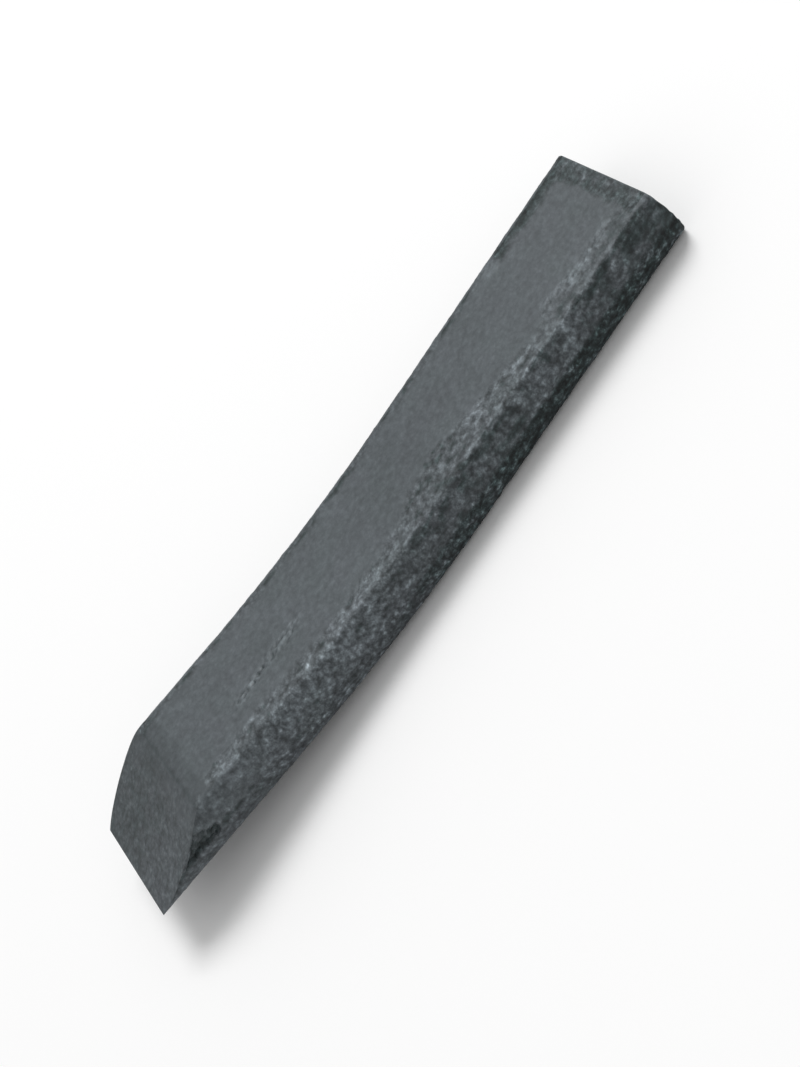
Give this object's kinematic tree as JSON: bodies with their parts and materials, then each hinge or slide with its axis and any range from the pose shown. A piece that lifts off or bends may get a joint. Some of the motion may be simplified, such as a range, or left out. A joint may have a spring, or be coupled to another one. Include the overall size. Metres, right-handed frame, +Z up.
{
  "type": "weld-on chisel blade",
  "caption": "Steel bar with rounded bulging edges, gently bent along its length, with a flat back to weld on and a single-sided chisel bevel at the tip.",
  "frame": {"origin": "middle of the flat weld face on the underside of the straight end", "axes": "+X towards the cropped end, cutting edge towards -X, +Y across the width, +Z up through the smooth top"},
  "size_m": [0.2036, 0.04, 0.024],
  "materials": {
    "forged_steel": "black forging scale, smooth and satin on the top, rough and pitted on the sides"
  },
  "bodies": {
    "root": {"chisel_blade": "forged_steel"}
  },
  "joints": []
}
